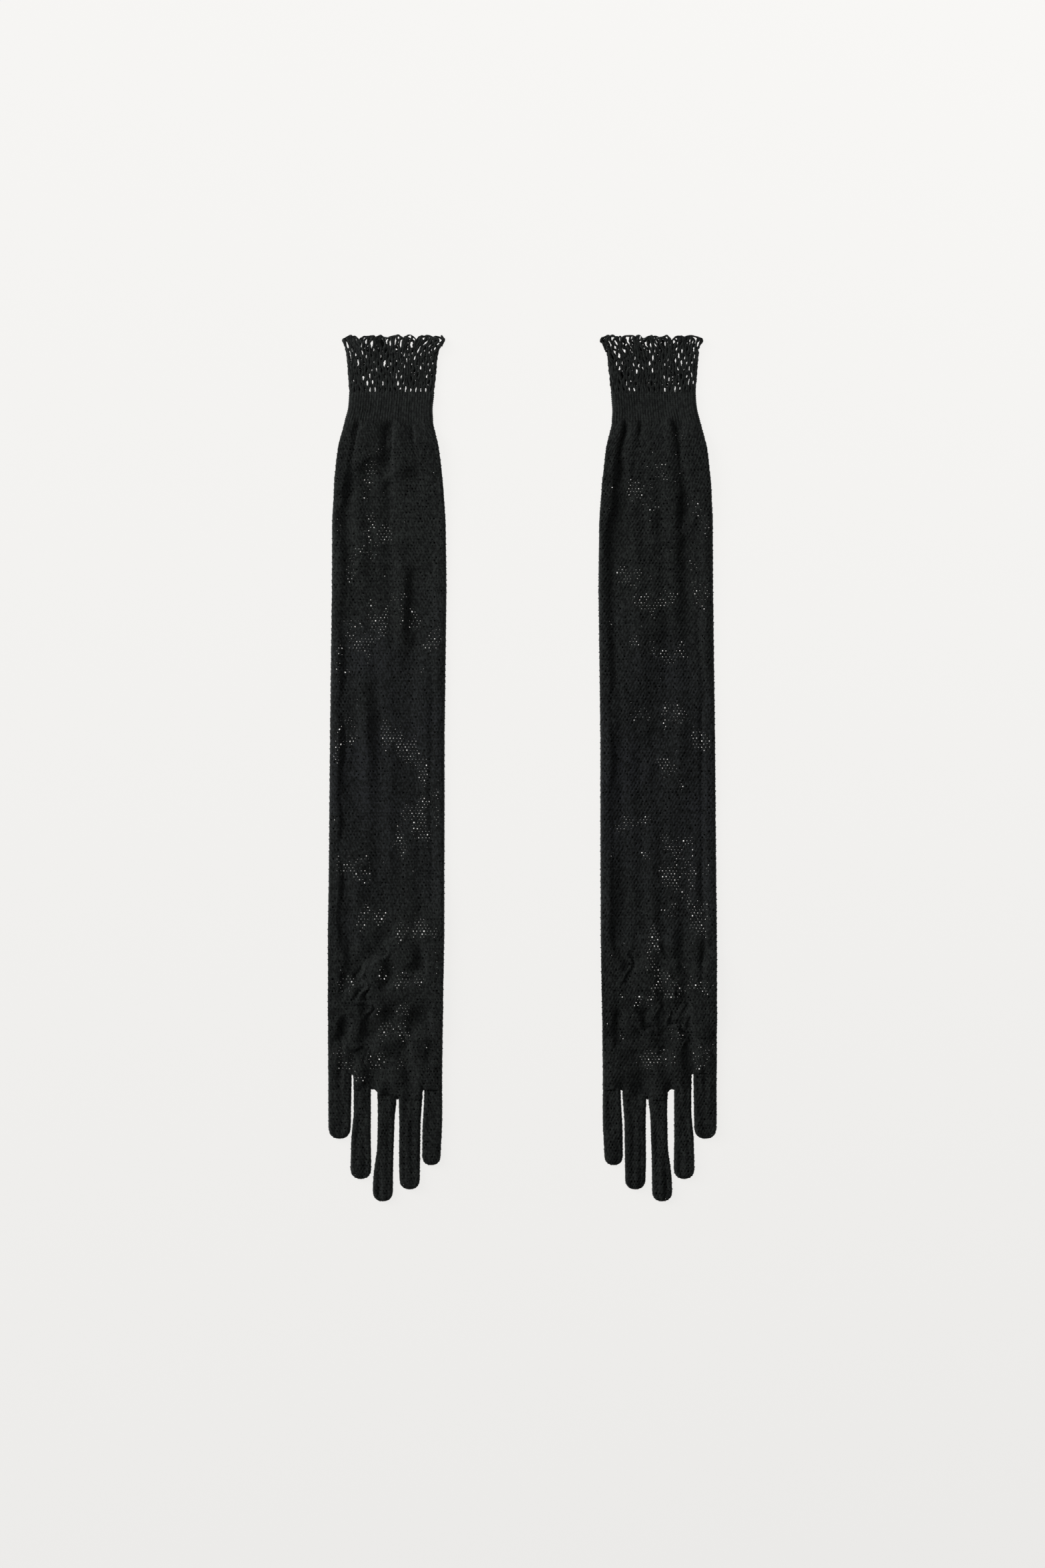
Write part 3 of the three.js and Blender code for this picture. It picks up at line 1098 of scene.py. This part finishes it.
def makeRib(side):
    surface = sleeveSurface(side)
    columns = rib["wales"] * rib["stepsPerWale"]
    low, high = ribEnd - 1.6, frillFold + 0.3
    rows = int((high - low) / rib["rowStep"])
    c = np.arange(columns)[None, :] / rib["stepsPerWale"]
    t = np.linspace(0, 1, rows + 1)[:, None]
    y = high - t * (high - low)
    wale = np.abs(np.cos(math.pi * c))
    chevron = np.cos(2 * math.pi * (y / rib["stitch"] + rib["slant"] * wale))
    endRoll = smoothStep(high - y, 0, 1.4) * smoothStep(y - low, 0, rib["fade"])
    strength = 1 + 0.35 * softNoise(seeds[side] + 41, 3, 14)(c, y)
    lift = rib["ridge"] * strength * (wale - 0.5) + rib["stitchLift"] * chevron * wale
    lift = lift + rib["lift"] - (1 - endRoll) * 0.5

    def place(c, r):
        return surface(c / rib["wales"], -r)

    points = liftedPoints(place, c + 0 * y, -y + 0 * c, lift)
    grid = np.arange((rows + 1) * columns).reshape(rows + 1, columns)
    right = np.roll(grid, -1, 1)
    faces = np.stack([right[:-1], grid[:-1], grid[1:], right[1:]], -1).reshape(-1, 4)
    u = np.arange(columns + 1) / (columns + 1)
    v = np.arange(rows + 1) / (rows + 1)
    uv = np.stack(np.meshgrid(u, v), -1)
    uv = np.stack([uv[:-1, 1:], uv[:-1, :-1], uv[1:, :-1], uv[1:, 1:]], -2).reshape(-1, 4, 2)
    piece = makeMesh(side + "_ribBand", points.reshape(-1, 3), faces, mirrors[side] < 0, uv)
    hang(piece, "rib_band", "rib", side, (rib["cutWidth"], (high - low) * mm))
    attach(piece, side + "_upper_arm")


net = {
    "columns": 34,
    "cellRows": 9,
    "strand": 0.76,
    "flat": 0.7,  # a strand's thickness as a share of its width
    "hold": 2.1,  # the greater, the longer two strands stay together in a knot
    "topHold": 1.05,
    "grip": 0.35,  # how far from the middle of a knot each of its two strands runs
    "twist": 0.24,  # columns, which keeps most of the holes of the two layers apart
    "flare": (0.9, 2.2),  # mm that the two ends of the edge stand out
    "scallops": 14,
    "scallopDepth": 5.2,
    "wander": (0.16, 0.34),  # columns, in the body and at the edge
    "uneven": 1.3,
    "lean": 2.4,
    "fray": 0.5,
    "wave": 1.1,
    "apart": 0.35,  # how uneven a patch of holes in line is
    "inLine": (0.35, 0.74),
    "crinkle": 0.03,
    "edgeStrand": 0.6,
    "height": 4.8,
    "roll": 2.2,
    "floorGap": 1.1,
    "halfWidth": 35,  # of the frill as it lies
    "stepsPerRow": 10,
    "sides": 6,
    "cutSize": (0.14, 0.043),  # metres
}
netPatches = {
    # where the holes of the frill's two layers line up: x from the middle, y, half width and half height
    "right": [
        (-27, 294, 6, 6), (-20, 284, 5, 9), (-17, 270, 4.5, 9),
        (-11, 292, 3.5, 4), (-12, 283, 2.5, 4), (-3, 281, 2, 3),
        (-4.5, 271, 2, 8), (12, 286, 8, 13), (26, 288, 9, 13),
        (9, 269, 5, 9), (30, 270, 4, 12), (20, 262, 14, 2.6),
    ],
    "left": [
        (28, 291, 9, 8), (23, 279, 9, 9), (20, 266, 5, 6),
        (10, 279, 3, 4), (9, 294, 3, 4), (3, 279, 2, 4),
        (-8, 283, 5, 9), (-17, 287, 8, 11), (-27, 289, 6, 14),
        (-8, 268, 3, 7), (-17, 266, 5, 4), (-26, 264, 3, 7),
    ],
}


def scallopEdge(side):
    # How far the frill's edge drops at each column: uneven arches with sharp valleys between them
    draw = np.random.default_rng(seeds[side] + 81)
    widths = draw.uniform(0.6, 1.4, net["scallops"])
    valleys = np.concatenate([[0], np.cumsum(widths)]) * net["columns"] / widths.sum()
    depths = draw.uniform(0.35, 1.3, net["scallops"])
    depths = np.append(depths, depths[0])

    def drop(c):
        c = np.mod(c, net["columns"])
        k = np.clip(np.searchsorted(valleys, c, side="right") - 1, 0, net["scallops"] - 1)
        u = (c - valleys[k]) / (valleys[k + 1] - valleys[k])
        depth = depths[k] * (1 - u) + depths[k + 1] * u
        return net["scallopDepth"] * depth * np.abs(2 * u - 1) ** 2.8

    return drop


def frillSurface(side):
    # The net frill: around, and t from 0 inside the rib to 1 at its edge
    low, high = frillFold - 2.0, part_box("right_frill")[1].y / mm - net["edgeStrand"]
    columns, rows = net["columns"], net["cellRows"]
    seed = seeds[side] + 61
    leanC, leanY = softNoise(seed, 2.6, 3), softNoise(seed + 1, 2.0, 3)
    waveZ = softNoise(seed + 2, 5.5, 60)
    wander = softNoise(seed + 3, 3.2, 5)
    apart = softNoise(seed + 5, 3, 3)
    uneven = softNoise(seed + 7, 7, 60)
    frayed = softNoise(seed + 6, 1.1, 9)
    drop = scallopEdge(side)

    def place(c, t):
        c = np.mod(c, columns)
        ring = np.abs(np.mod(c + columns / 2, columns) - columns / 2)
        offSeam = 1 - np.exp(-((ring / 1.2) ** 2))  # nothing wanders where the columns start again
        edge = smoothStep(t, 0.55, 1.0)
        body = smoothStep(t, 0.05, 0.3)
        y = low + (high - low) * t - drop(c) * smoothStep(t, 0.5, 1)
        y = y + edge * (1 - t) * net["lean"] * leanY(c, 4 * t)
        y = y + net["fray"] * smoothStep(t, 0.85, 1) * frayed(c, t)
        inBody, atEdge = net["wander"]
        c = c + offSeam * (inBody * body * wander(c, rows * t) + atEdge * edge * leanC(c, 4 * t))
        s = 1 - np.abs(4 * (c / columns - 0.5))
        across = net["halfWidth"] * s
        y = y + body * (1 - edge) * net["uneven"] * uneven(across, rows * t)
        inLine = np.zeros(s.shape)
        for atX, atY, wide, tall in netPatches[side]:
            away = ((across - atX) / wide) ** 2 + ((y - atY) / tall) ** 2
            inLine = np.maximum(inLine, np.exp(-((0.8 * away) ** 2)))
        inLine = smoothStep(inLine + net["apart"] * apart(c, rows * t), *net["inLine"])
        inLine = inLine * smoothStep(c, columns / 2, columns / 2 + 2)
        c = c + net["twist"] * (1 - 2 * inLine)
        left, right = frillEdges(np.clip(y, low, high))
        flare = smoothStep(t, 0.75, 1)
        left, right = left - net["flare"][0] * flare, right + net["flare"][1] * flare
        half = (right - left) / 2 - net["strand"]
        x, z = flatOval(c / columns, half, net["roll"])
        upper = (z / net["roll"] + 1) / 2
        height = net["height"] * (1 - 0.25 * (1 - edge)) + edge * net["wave"] * waveZ(c, t)
        z = net["floorGap"] + upper * np.clip(height, 1.0, 6.2)
        return np.stack(np.broadcast_arrays((left + right) / 2 + x, y, z), -1)

    return place


def strandTubes(paths, radius, sides, closed=False, flat=1):
    # Points and quads of round strands along many paths of the same number of points, with closed ends
    along = np.roll(paths, -1, 1) - np.roll(paths, 1, 1) if closed else np.gradient(paths, axis=1)
    along /= np.maximum(np.linalg.norm(along, axis=-1, keepdims=True), 1e-9)
    up = np.zeros_like(along)
    up[..., 2] = 1
    aside = np.cross(along, up)
    aside /= np.maximum(np.linalg.norm(aside, axis=-1, keepdims=True), 1e-9)
    up = np.cross(aside, along)
    radius = np.broadcast_to(np.asarray(radius, float), paths.shape[:2])
    count, steps = paths.shape[:2]
    turn = np.arange(sides) * 2 * math.pi / sides
    ring = np.cos(turn)[:, None] * aside[:, :, None] + flat * np.sin(turn)[:, None] * up[:, :, None]
    points = paths[:, :, None] + ring * radius[..., None, None]
    grid = np.arange(points[..., 0].size).reshape(count, steps, sides)
    nextSide = np.roll(grid, -1, 2)
    if closed:
        ahead, aheadSide = np.roll(grid, -1, 1), np.roll(nextSide, -1, 1)
        faces = np.stack([grid, ahead, aheadSide, nextSide], -1).reshape(-1, 4)
    else:
        walls = [grid[:, :-1], grid[:, 1:], nextSide[:, 1:], nextSide[:, :-1]]
        faces = [np.stack(walls, -1).reshape(-1, 4)]
        for k in range(1, sides - 2, 2):
            faces.append(grid[:, 0, [0, k, k + 1, k + 2]])
            faces.append(grid[:, -1, [k + 2, k + 1, k, 0]])
        faces = np.concatenate(faces)
    return points.reshape(-1, 3), faces


def makeFrill(side):
    place = frillSurface(side)
    rows = net["cellRows"]
    tau = np.linspace(0, rows, rows * net["stepsPerRow"] + 1)[None, :]
    i = np.arange(net["columns"])[:, None]
    hold = net["hold"] + (net["topHold"] - net["hold"]) * smoothStep(tau, rows - 2.5, rows)
    swing = np.clip(hold * np.cos(math.pi * tau), -1, 1)
    swing = (0.25 - net["grip"] / 2) * np.sin(math.pi / 2 * swing)
    paths = np.concatenate([i + 0.25 - swing, i - 0.25 + swing])
    t = np.broadcast_to(tau / rows, paths.shape)
    rough = softNoise(seeds[side] + 92, 0.6, 0.35, 40)(paths, t * rows)
    crinkle = softNoise(seeds[side] + 93, 0.5, 0.6, 40)(paths, t * rows)
    paths = paths + net["crinkle"] * crinkle
    radius = net["strand"] * (1 + 0.32 * np.sin(math.pi * tau) ** 2 + 0.11 * rough)
    radius = radius * (1 - 0.14 * smoothStep(t, 0.7, 0.95))
    points, faces = strandTubes(place(paths, t), radius, net["sides"], flat=net["flat"])
    edgeC = np.arange(0, net["columns"], 0.125)
    lumpy = net["edgeStrand"] * (1 + 0.4 * softNoise(seeds[side] + 91, 0.8, 1)(edgeC, 0 * edgeC))
    rim, rimFaces = strandTubes(place(edgeC, 1.0)[None], lumpy[None], net["sides"], closed=True)
    faces = np.concatenate([faces, rimFaces + len(points)])
    piece = makeMesh(side + "_frillNet", np.concatenate([points, rim]), faces, mirrors[side] < 0)
    hang(piece, "frill", "net", side, net["cutSize"])
    bodyBlend(piece, side, "upper_arm", "frill_turnback", frillFold, *bends["frill"])


elastic = {"radius": 0.36, "inset": 0.75, "steps": 120, "wraps": 40, "wrapLift": 0.14, "sides": 6}


def makeElastic(side):
    surface = sleeveSurface(side)
    around = np.arange(elastic["steps"]) / elastic["steps"]
    for number in (1, 2, 3):
        node = f"elastic_yarn_{number}"
        low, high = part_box(f"right_{node}")
        ring = surface(around, np.full(around.shape, (low.y + high.y) / 2 / mm))
        centre = ring.mean(0)
        away = ring - centre
        away[:, 0] *= 1 - elastic["inset"] / np.abs(away[:, 0]).max()
        away[:, 2] *= 1 - elastic["inset"] / np.abs(away[:, 2]).max()
        lift = elastic["wrapLift"] * np.cos(2 * math.pi * elastic["wraps"] * around)
        radius = elastic["radius"] * (1 + lift)
        points, faces = strandTubes((centre + away)[None], radius[None], elastic["sides"], closed=True)
        piece = makeMesh(f"{side}_elastic{number}", points, faces, mirrors[side] < 0)
        hang(piece, node, "elastic", side)
        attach(piece, side + "_upper_arm")


for side in mirrors:
    settled[side] = settleSleeve(side)
    makeSleeves(side)
    makeFingers(side)
    makeRib(side)
    makeFrill(side)
    makeElastic(side)
    print(side, "glove knitted")
